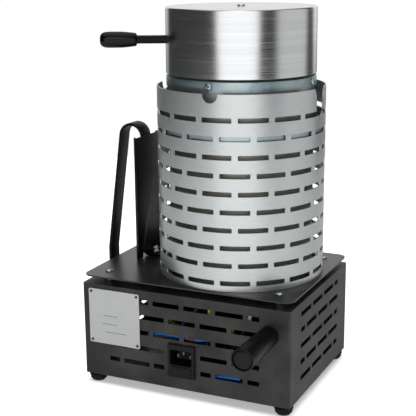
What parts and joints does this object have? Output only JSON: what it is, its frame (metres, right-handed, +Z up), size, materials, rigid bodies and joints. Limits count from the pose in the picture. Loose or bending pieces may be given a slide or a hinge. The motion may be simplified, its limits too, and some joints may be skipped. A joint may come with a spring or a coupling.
{
  "type": "crucible melting furnace",
  "caption": "Bench-top electric crucible furnace: perforated tower with a swing lid on a vented control cabinet, with pouring handles.",
  "frame": {"origin": "on the bench, under the middle of the whole furnace's bounding box", "axes": "+Z up, -Y the side with the mains inlet and rating plate, +X the side the metal is poured from, +Y the control side"},
  "size_m": [0.2524, 0.252, 0.397],
  "materials": {
    "powder_coat": "fine speckled charcoal powder coat",
    "black_metal": "satin black enamel",
    "perforated_steel": "satin punched sheet",
    "zinc": "blue-white zinc plating",
    "bright_steel": "bright",
    "turned_aluminium": "turned and brushed round",
    "plate_aluminium": "pale matte",
    "foot_rubber": "matte",
    "black_plastic": "moulded",
    "grip_plastic": "moulded phenolic",
    "ceramic_fibre": "soft white fibre",
    "refractory": "fired clay",
    "graphite": "pressed graphite",
    "heating_wire": "oxidised",
    "display_glass": "dark red window",
    "fuse_glass": "clear",
    "blue_sleeve": "wire insulation",
    "red_sleeve": "wire insulation",
    "earth_sleeve": "wire insulation",
    "terminal_plastic": "moulded"
  },
  "bodies": {
    "furnace": {"cabinet_shell": "powder_coat", "cabinet_base": "powder_coat", "top_plate": "powder_coat", "rating_plate": "plate_aluminium", "inlet_housing": "black_plastic", "pin_live": "zinc", "pin_neutral": "zinc", "pin_earth": "zinc", "base_grip": "grip_plastic", "grip_plug": "black_plastic", "grip_bolt": "zinc", "strap_handle": "black_metal", "strap_bolt": "zinc", "heat_shield": "black_metal", "guard": "perforated_steel", "furnace_shell": "bright_steel", "shell_hoop": "zinc", "collar_ring": "zinc", "insulation_liner": "ceramic_fibre", "heater_muffle": "refractory", "heating_coil": "heating_wire", "thermocouple": "bright_steel", "mouth_ring": "refractory", "crucible": "graphite", "pivot_socket": "bright_steel", "controller_case": "black_plastic", "controller_display": "display_glass", "switch_frame": "black_plastic", "terminal_block": "terminal_plastic", "wire_blue": "blue_sleeve", "wire_red": "red_sleeve", "wire_earth": "earth_sleeve", "foot_front_left": "foot_rubber", "spacer_front_left": "zinc", "plate_bolt_front_left": "zinc", "foot_front_right": "foot_rubber", "spacer_front_right": "zinc", "plate_bolt_front_right": "zinc", "foot_rear_left": "foot_rubber", "spacer_rear_left": "zinc", "plate_bolt_rear_left": "zinc", "foot_rear_right": "foot_rubber", "spacer_rear_right": "zinc", "plate_bolt_rear_right": "zinc", "collar_screw_1": "bright_steel", "collar_screw_2": "bright_steel", "collar_screw_3": "bright_steel", "collar_screw_4": "bright_steel"},
    "lid_carrier": {"lid_pivot_pin": "bright_steel"},
    "lid": {"lid_shell": "turned_aluminium", "lid_insulation": "ceramic_fibre", "lid_screw": "bright_steel", "lid_rod": "black_metal", "lid_grip": "grip_plastic"},
    "drawer": {"fuse_drawer": "black_plastic", "fuse": "fuse_glass"},
    "rocker": {"power_rocker": "grip_plastic"},
    "button_1": {"controller_button_1": "grip_plastic"},
    "button_2": {"controller_button_2": "grip_plastic"},
    "button_3": {"controller_button_3": "grip_plastic"}
  },
  "joints": [
    {"name": "lid_lift", "type": "slide", "parent": "furnace", "child": "lid_carrier", "axis": [0, 0, 1], "range_m": [0, 0.015]},
    {"name": "lid_swing", "type": "hinge", "parent": "lid_carrier", "child": "lid", "pos_m": [0.01014, 0.08688, 0.3284], "axis": [0, 0, -1], "range_deg": [0, 140]},
    {"name": "fuse_drawer_slide", "type": "slide", "parent": "furnace", "child": "drawer", "axis": [0, -1, 0], "range_m": [0, 0.018]},
    {"name": "power_switch", "type": "hinge", "parent": "furnace", "child": "rocker", "pos_m": [-0.0508, 0.1197, 0.062], "axis": [-1, 0, 0], "range_deg": [0, 16]},
    {"name": "button_1_press", "type": "slide", "parent": "furnace", "child": "button_1", "axis": [0, -1, 0], "range_m": [0, 0.0008], "stiffness_N_per_m": 300},
    {"name": "button_2_press", "type": "slide", "parent": "furnace", "child": "button_2", "axis": [0, -1, 0], "range_m": [0, 0.0008], "stiffness_N_per_m": 300},
    {"name": "button_3_press", "type": "slide", "parent": "furnace", "child": "button_3", "axis": [0, -1, 0], "range_m": [0, 0.0008], "stiffness_N_per_m": 300}
  ]
}
